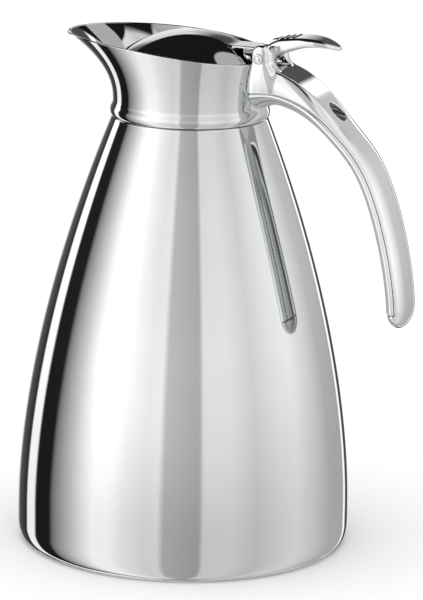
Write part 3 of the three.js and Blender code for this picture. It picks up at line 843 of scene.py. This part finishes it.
def handle_screw(name, y):
    """A low pan head with a round drive recess, on a plain shank."""
    head, shank, start = SCREW["head"], SCREW["radius"], SCREW["start"]
    outline = [
        [0, start + 0.7], [1.1, start + 0.6], [1.1, start + 0.1], [1.5, start],
        [head - 0.2, start + 0.35], [head, start + 0.8], [head, start + 1.4],
        [shank, start + 1.4], [shank, SCREW["end"] - 0.6], [shank - 0.6, SCREW["end"]],
        [0, SCREW["end"]],
    ]
    return lathe(name, rounded(outline, 0.15), 48, along_x(y, SCREW["z"]))


# ------------------------------ hinge


def pin_outline(start, end, bore=None):
    """The outline of a pin's head, or of a cap with a bore, that faces -Y: a raised ring round
    a slightly domed middle."""
    head = PIN["head"]
    outline = [[0, start + 0.08], [0.5, start + 0.1], [1.0, start + 0.2], [1.25, start + 0.34]]
    outline += [[1.4, start + 0.3], [1.5, start + 0.08], [1.6, start], [head - 0.2, start]]
    outline += [[head - 0.06, start + 0.06], [head, start + 0.2], [head, end]]
    if bore:
        outline += [[bore, end], [bore, start + 0.7], [0, start + 0.7]]
    return outline


def hinge_pin():
    outer = EAR["outer"]
    outline = pin_outline(-outer - 1.1, -outer - 0.25)
    outline += [[PIN["radius"], -outer - 0.25], [PIN["radius"], outer + 0.6]]
    outline += [[PIN["radius"] - 0.4, outer + 1], [0, outer + 1]]
    return lathe("hinge_pin_turned", outline, 64, along_y(PIN["x"], PIN["z"]))


def pin_cap():
    outer = EAR["outer"]
    outline = pin_outline(-outer - 1.8, -outer - 0.25, PIN["bore"])
    return lathe("hinge_cap_turned", outline, 64, along_y(PIN["x"], PIN["z"], side=-1))


def lever_rivet():
    inner, outer = TAB["half_width"] + 0.1, TAB["half_width"] + 0.45
    radius, head = RIVET["radius"], RIVET["head"]
    half = [
        [0, -outer - 0.1], [0.6, -outer - 0.08], [head - 0.3, -outer], [head, -inner - 0.15],
        [head, -inner], [radius, -inner],
    ]
    outline = half + [[across, -height] for across, height in reversed(half)]
    return lathe("lever_rivet_turned", outline, 48, along_y(RIVET["x"], RIVET["z"]))


def spring_path():
    """One leg on the lever's tongue, the coil round the pin, and one leg down to the handle."""
    points = [[PIN["x"] - SPRING_LEG["front"], -SPRING["half_length"], TONGUE["top"] + 2 * SPRING["wire"]]]
    steps = round(SPRING["turns"] * 16)
    for i in range(steps + 1):
        angle = math.pi / 2 - i / 16 * 2 * math.pi
        y = mix(-SPRING["half_length"], SPRING["half_length"], i / steps)
        x = PIN["x"] + SPRING["coil"] * math.cos(angle)
        points.append([x, y, PIN["z"] + SPRING["coil"] * math.sin(angle)])
    points.append([PIN["x"] + SPRING["coil"], SPRING["half_length"], PIN["z"] - SPRING_LEG["down"]])
    return np.array(points)


def lid_spring():
    knots = spring_path()
    lengths = chord_lengths(knots)
    path = natural_spline(lengths, knots, np.linspace(0, lengths[-1], 320))
    ahead = unit(np.gradient(path, axis=0))
    across = np.array([0.0, 1.0, 0.0])
    angles = circle(12)
    rings = []
    for point, direction in zip(path, ahead):
        across = unit(across - direction * (across @ direction))
        other = np.cross(direction, across)
        ring = np.outer(np.cos(angles), across) + np.outer(np.sin(angles), other)
        rings.append(point + SPRING["wire"] * ring)
    return loft("lid_spring_wire", rings)


# ------------------------------ lid

DOME_RISE = DOME["top"] - DOME["edge"]
SPHERE_RADIUS = (DOME["radius"] ** 2 + DOME_RISE**2) / (2 * DOME_RISE)
SPHERE_CENTRE = DOME["top"] - SPHERE_RADIUS


def cover_distance(x, y, z):
    radial = np.hypot(x, y)
    cap = np.hypot(radial, z - SPHERE_CENTRE) - SPHERE_RADIUS
    outside = round_max(cap, radial - DOME["radius"], 0.9)
    inside = np.maximum(cap + DOME["wall"], radial - DOME["radius"] + DOME["wall"])
    shell = round_max(round_max(outside, -inside, 0.25), DOME["skirt"] - z, 0.3)
    behind = x - LID_NOTCH["front"]
    wedge = (np.abs(y) - TAB["half_width"] - behind * LID_NOTCH["slope"]) * LID_NOTCH["evened"]
    notch = np.maximum(np.maximum(wedge, -behind), z - TAB["underside"])
    shell = round_max(shell, -notch, 0.3)
    boss = round_max(radial - BOSS["radius"], slab(z, BOSS["bottom"], BOSS["top"]), 0.4)
    whole = round_min(shell, boss, 0.6)
    plate = np.maximum(slab(x, TAB["front"], TAB["end"]), slab(z, TAB["underside"], TAB["top"]))
    plate = round_max(plate, np.abs(y) - TAB["half_width"], 0.45)
    whole = round_min(whole, plate, 0.9)
    lug = np.hypot(x - RIVET["x"], np.minimum(z - RIVET["z"], 0)) - RIVET["lug"]
    lug = np.maximum(lug, z - TAB["top"] + 0.4)
    lug = round_max(lug, slab(np.abs(y), TAB["half_width"] - TAB["lug"], TAB["half_width"]), 0.35)
    whole = round_min(whole, lug, 0.5)
    whole = np.maximum(whole, -rivet_hole(x, z))
    screw_hole = np.maximum(radial - SCREW["bore"], z - BOSS["hole_top"])
    return np.maximum(whole, -screw_hole)


def rivet_hole(x, z):
    return np.hypot(x - RIVET["x"], z - RIVET["z"]) - RIVET["radius"] - GAP


def lid_dome():
    return carve("lid_dome", cover_distance, (-30, -30, 204), (31, 30, 218), 0.36)


def lever_distance(x, y, z):
    stations = np.array(LEVER_STATIONS)
    sizes = natural_spline(stations[:, 0], stations[:, 1:], x)
    half_width, top, bottom = sizes[..., 0], sizes[..., 1], sizes[..., 2]
    half = (top - bottom) / 2
    up = z - (top + bottom) / 2
    half_up = np.where(up > 0, half * LEVER_CROWN, half)
    leaf = rounded_section(y, up, half_width, half_up, LEVER_POWER)
    leaf = round_max(leaf, up - half, 0.25)
    leaf = round_max(leaf, slab(x, *LEVER_ENDS), 0.7)
    for i in range(RIDGE["count"]):
        ridge_x = RIDGE["x"] + i * RIDGE["pitch"]
        ridge_z = RIDGE["z"] + i * RIDGE["rise"]
        bar = np.hypot(x - ridge_x, z - ridge_z) - RIDGE["radius"]
        bar = round_max(bar, np.abs(y) - RIDGE["half_length"], 0.6)
        leaf = round_min(leaf, bar, 0.35)
    from_pin = np.hypot(x - PIN["x"], z - PIN["z"])
    knuckle = round_max(from_pin - BARREL["radius"], np.abs(y) - BARREL["half_length"], 0.4)
    whole = round_min(leaf, knuckle, 1.2)
    tongue = np.maximum(slab(x, TONGUE["start"], PIN["x"]), slab(z, TONGUE["bottom"], TONGUE["top"]))
    tongue = round_max(tongue, np.abs(y) - TONGUE["half_width"], 0.4)
    whole = round_min(whole, tongue, 0.7)
    room = np.maximum(from_pin - SPRING["room"], np.abs(y) - SPRING["half_room"])
    whole = round_max(whole, -room, 0.2)
    whole = np.maximum(whole, PIN["bore"] - from_pin)
    return np.maximum(whole, -rivet_hole(x, z))


def thumb_lever():
    return carve("thumb_lever_cast", lever_distance, (24, -7.5, 206), (66, 7.5, 220), 0.3)


def lid_tray():
    outline = [
        [1.8, 204], [18.4, 204], [18.4, 201], [20, 201], [20, 204],
        [28.7, 204], [28.7, 206], [1.8, 206],
    ]
    return lathe("lid_tray", rounded(outline, 0.4))


def stopper_plug():
    outline = [
        [0, 181], [15.5, 181], [17.5, 182.4], [22.6, 191.7], [22.6, 193.4], [26.8, 193.4],
        [26.8, 195], [22, 195.4], [22, 203.7], [20.6, 203.7], [20.6, 192], [16.2, 182.6],
        [0, 182.6],
    ]
    return lathe("stopper_plug", rounded(outline, 0.7))


def plug_seal():
    outline = [[22.9, 191.9], [26.6, 191.9], [26.8, 192.5], [26.6, 193.1], [22.9, 193.1]]
    return lathe("plug_seal", rounded(outline, 0.3))


def tray_screw():
    outline = [
        [0, 202.9], [1, 202.8], [1, 202.4], [2.7, 202.3], [3, 202.7], [3, 203.7],
        [1.5, 203.7], [1.5, 213.3], [1.2, 213.6], [0, 213.6],
    ]
    return lathe("tray_screw", rounded(outline, 0.12), 48)


# ------------------------------ assembly

# Each made piece, its body, the CAD node it stands for, its slot and its material.
MADE_PIECES = [
    (outer_casing, "carafe", "outer_shell", "polished_steel", "sheet_mirror"),
    (base_cup, "carafe", "base_plate", "polished_steel", "collar_mirror"),
    (flask_lining, "carafe", "inner_flask", "satin_steel", "satin_sheet"),
    (mouth_seat, "carafe", "mouth_ring", "satin_steel", "satin_sheet"),
    (pouring_collar, "carafe", "spout_collar", "polished_steel", "collar_mirror"),
    (handle_casting, "carafe", "handle_body", "polished_casting", "cast_chrome"),
    (handle_strip, "carafe", "handle_liner", "polished_casting", "cast_chrome"),
    (handle_disc, "carafe", "handle_inlay", "black_plastic", "gloss_black"),
    (hinge_pin, "carafe", "hinge_pin", "pin_steel", "turned_steel"),
    (pin_cap, "carafe", "hinge_pin_cap", "pin_steel", "turned_steel"),
    (lid_dome, "lid", "lid_cover", "polished_steel", "collar_mirror"),
    (thumb_lever, "lid", "thumb_lever", "polished_casting", "cast_chrome"),
    (lever_rivet, "lid", "lever_rivet", "pin_steel", "turned_steel"),
    (lid_tray, "lid", "lid_base", "black_plastic", "black_plastic"),
    (tray_screw, "lid", "lid_screw", "satin_steel", "turned_steel"),
    (stopper_plug, "lid", "stopper", "black_plastic", "black_plastic"),
    (plug_seal, "lid", "stopper_seal", "silicone", "silicone"),
]

# Hidden CAD nodes whose shape is right as it is, and their materials.
KEPT_NODES = {
    "bottom_closure": "satin_sheet",
    "vacuum_seal_bead": "braze",
    "getter_disc": "satin_sheet",
    "neck_gasket": "silicone",
    "lid_insulation": "foam",
}


def dress(piece, material):
    piece.data.materials.clear()
    piece.data.materials.append(material)


def stand_for(piece, node, material):
    dress(piece, material)
    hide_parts(node)


def assemble():
    materials = make_materials()
    for build, body, node, slot, material in MADE_PIECES:
        piece = build()
        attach(piece, body)
        stand_for(piece, node, materials[material])
    for side, y in (("left", -SCREW["y"]), ("right", SCREW["y"])):
        piece = handle_screw(f"grip_screw_{side}", y)
        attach(piece, "carafe")
        stand_for(piece, f"handle_screw_{side}", materials["turned_steel"])
    # The wire is attached to no body, and its placing is baked into its points.
    wire = lid_spring()
    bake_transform(wire)
    stand_for(wire, "lid_spring", materials["spring_wire"])
    for node, material in KEPT_NODES.items():
        dress(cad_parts[node], materials[material])


# ------------------------------ stage

CAMERA_SIDE = 21  # degrees that the camera stands round towards the handle
CAMERA_TILT = 14  # degrees that it looks down
CAMERA_ROLL = 1.05  # degrees that it leans
CAMERA_DISTANCE = 1.576  # metres
CAMERA_LENS = 224.7  # millimetres
STUDIO_MIDDLE = Vector((0, 0, 0.1))  # the point that the camera stands round
AIM = (0.01056, 0.00227)  # metres right of and above that point
FLOOR_HALF = 30000  # millimetres
TENT_RADIUS = 3200  # millimetres
OVERHEAD = dict(size=1.6, energy=5, place=(-0.3, -0.3, 1.7))

# The studio's panels and flags by the angle in degrees from the camera to its right, as shares
# of TENT_STRENGTH: a pale wall behind, a white strip between two flags on the left, a large
# panel in front on the left, a greyer gap at the camera, a long panel on the right, and behind
# it a narrow white strip and a last flag.
TENT_STRENGTH = 2
TENT_BANDS = [
    (-180, 0.5), (-167, 0.5), (-160, 0.08), (-139, 0.02), (-137, 0.85), (-125, 0.85),
    (-123, 0.01), (-105, 0.01), (-101, 0.16), (-84, 0.46), (-72, 0.74), (-64, 0.9),
    (-52, 0.88), (-40, 0.72), (-26, 0.62), (-17, 0.64), (-13, 0.38), (11, 0.31),
    (14, 0.56), (33, 0.57), (52, 0.48), (71, 0.58), (86, 0.63), (107, 0.5), (124, 0.37),
    (140, 0.35), (149, 0.32), (151, 0.9), (155, 0.9), (157, 0.05), (172, 0.05), (180, 0.5),
]
# The panels are dimmer low down and high up, from one height of a unit direction to another.
LOW = dict(start=-0.3, end=0.1, drop=0.27)
HIGH = dict(start=0.2, end=0.6, drop=0.12)
# A dark disc overhead and a grey spot across its edge, by angles in degrees.
CEILING = dict(azimuth=-165, elevation=70.5, inner=40.5, outer=42.5, grey=0.006)
SPOT = dict(azimuth=124, elevation=51, inner=15.5, outer=17.5, grey=0.3)
# A dark sheet overhead, as distances to the right and to the front over its height above the
# object. Directions below the lowest height are read as if they were at it.
SHEET = dict(right=-0.15, half_width=0.58, front=0.35, half_depth=0.7, soft=0.08, lowest=0.02)


def camera_axes():
    """The directions to the camera's right, up and back."""
    side, tilt, roll = (math.radians(a) for a in (CAMERA_SIDE, CAMERA_TILT, CAMERA_ROLL))
    level = Matrix.Rotation(side, 3, "Z") @ Matrix.Rotation(math.pi / 2 - tilt, 3, "X")
    return (level @ Matrix.Rotation(roll, 3, "Z")).transposed()


def place_camera():
    right, up, back = camera_axes()
    position = STUDIO_MIDDLE + CAMERA_DISTANCE * back
    aim = STUDIO_MIDDLE + AIM[0] * right + AIM[1] * up
    axis_z = (position - aim).normalized()
    axis_x = (right - axis_z * right.dot(axis_z)).normalized()
    axis_y = axis_z.cross(axis_x)
    data = bpy.data.cameras.new("camera")
    data.lens = CAMERA_LENS
    data.sensor_width = 36
    data.clip_start = 0.05
    data.clip_end = 60
    camera = add_object("camera", data)
    turned = Matrix((axis_x, axis_y, axis_z)).transposed().to_4x4()
    camera.matrix_world = Matrix.Translation(position) @ turned
    bpy.context.scene.camera = camera


def make_floor():
    corners = [(-1, -1, 0), (1, -1, 0), (1, 1, 0), (-1, 1, 0)]
    floor = make_mesh("floor", np.array(corners) * FLOOR_HALF, [(0, 1, 2, 3)])
    made, tree, shader = new_shader("pale_floor", Roughness=0.9, Specular_IOR_Level=0.0)
    paper = tint(tree, noise(tree, (6, 6, 6)), (0.96,) * 3, (0.98,) * 3)
    set_inputs(tree, shader, Base_Color=paper)
    floor.data.materials.append(made)
    floor.visible_glossy = False


def off_axis(tree, direction, azimuth, elevation):
    """Degrees between a direction and one given by its angle round from the camera and height."""
    round_, high = math.radians(azimuth), math.radians(elevation)
    target = (math.sin(round_) * math.cos(high), -math.cos(round_) * math.cos(high), math.sin(high))
    dot = add_node(tree, "VectorMath")
    dot.operation = "DOT_PRODUCT"
    fill(tree, dot.inputs[0], direction)
    fill(tree, dot.inputs[1], target)
    angle = math_node(tree, "ARCCOSINE", math_node(tree, "MINIMUM", dot.outputs["Value"], 0.99999))
    return math_node(tree, "MULTIPLY", angle, 180 / math.pi)


def fade(tree, value, start, end):
    """1 below start, falling smoothly to 0 at end."""
    node = add_node(tree, "MapRange", Value=value, From_Min=start, From_Max=end, To_Min=1, To_Max=0)
    node.interpolation_type = "SMOOTHSTEP"
    return node.outputs["Result"]


def blend_grey(tree, share, below, above):
    """below where share is 0, and above where it is 1."""
    keep = math_node(tree, "SUBTRACT", 1.0, share)
    first = math_node(tree, "MULTIPLY", below, keep)
    return math_node(tree, "MULTIPLY_ADD", share, above, first)


def overhead_sheet(tree, parts, toward):
    """1 where a direction meets the dark sheet, and 0 beside it."""
    height = math_node(tree, "MAXIMUM", parts.outputs["Z"], SHEET["lowest"])
    inside = []
    for value, middle, half in (
        (parts.outputs["X"], SHEET["right"], SHEET["half_width"]),
        (toward, SHEET["front"], SHEET["half_depth"]),
    ):
        place = math_node(tree, "SUBTRACT", math_node(tree, "DIVIDE", value, height), middle)
        apart = math_node(tree, "ABSOLUTE", place)
        inside.append(fade(tree, apart, half - SHEET["soft"], half + SHEET["soft"]))
    return math_node(tree, "MULTIPLY", *inside)


def tent_material():
    """Light panels and dark flags round the object, under a dark sheet and ceiling."""
    made, tree, shader = new_shader("studio_tent")
    tree.nodes.remove(shader)
    sight = add_node(tree, "VectorMath", Vector=add_node(tree, "TexCoord").outputs["Object"])
    sight.operation = "NORMALIZE"
    direction = sight.outputs["Vector"]
    parts = add_node(tree, "SeparateXYZ", Vector=direction)
    toward = math_node(tree, "MULTIPLY", parts.outputs["Y"], -1.0)
    around = math_node(tree, "ARCTAN2", parts.outputs["X"], toward)
    share = math_node(tree, "MULTIPLY_ADD", around, 1 / (2 * math.pi), 0.5)
    stops = [((angle + 180) / 360, (grey,) * 3) for angle, grey in TENT_BANDS]
    bands = ramp_node(tree, share, stops)
    up = parts.outputs["Z"]
    low = fade(tree, up, LOW["start"], LOW["end"])
    level = math_node(tree, "MULTIPLY_ADD", low, -LOW["drop"], 1.0)
    high = fade(tree, math_node(tree, "MULTIPLY", up, -1.0), -HIGH["end"], -HIGH["start"])
    level = math_node(tree, "MULTIPLY_ADD", high, -HIGH["drop"], level)
    light = math_node(tree, "MULTIPLY", bands, level)
    light = blend_grey(tree, overhead_sheet(tree, parts, toward), light, CEILING["grey"])
    for disc in (CEILING, SPOT):
        apart = off_axis(tree, direction, disc["azimuth"], disc["elevation"])
        light = blend_grey(tree, fade(tree, apart, disc["inner"], disc["outer"]), light, disc["grey"])
    glow = add_node(tree, "Emission", Color=light, Strength=TENT_STRENGTH)
    set_inputs(tree, tree.nodes["Material Output"], Surface=glow.outputs[0])
    return made


def make_tent():
    angles = np.linspace(-math.pi / 2, math.pi / 2, 49)
    outline = [[TENT_RADIUS * math.cos(a), TENT_RADIUS * math.sin(a)] for a in angles]
    tent = lathe("studio_tent", outline, 96)
    tent.location = STUDIO_MIDDLE
    tent.rotation_euler = (0, 0, math.radians(CAMERA_SIDE))
    tent.data.materials.append(tent_material())
    tent.visible_camera = False
    tent.visible_diffuse = False
    tent.visible_shadow = False


def make_lights():
    data = bpy.data.lights.new("overhead", "AREA")
    data.shape = "DISK"
    data.size = OVERHEAD["size"]
    data.energy = OVERHEAD["energy"]
    light = add_object("overhead", data)
    light.location = OVERHEAD["place"]
    light.rotation_euler = (-light.location).to_track_quat("-Z", "Y").to_euler()
    light.visible_glossy = False
    world = bpy.data.worlds.new("world")
    world.use_nodes = True
    tree = world.node_tree
    set_inputs(tree, tree.nodes["Background"], Color=(1, 1, 1, 1), Strength=1.0)
    bpy.context.scene.world = world


def set_the_stage():
    make_floor()
    make_tent()
    make_lights()
    place_camera()
    bpy.context.scene.view_settings.view_transform = "Standard"


# ------------------------------ run

assemble()
set_the_stage()
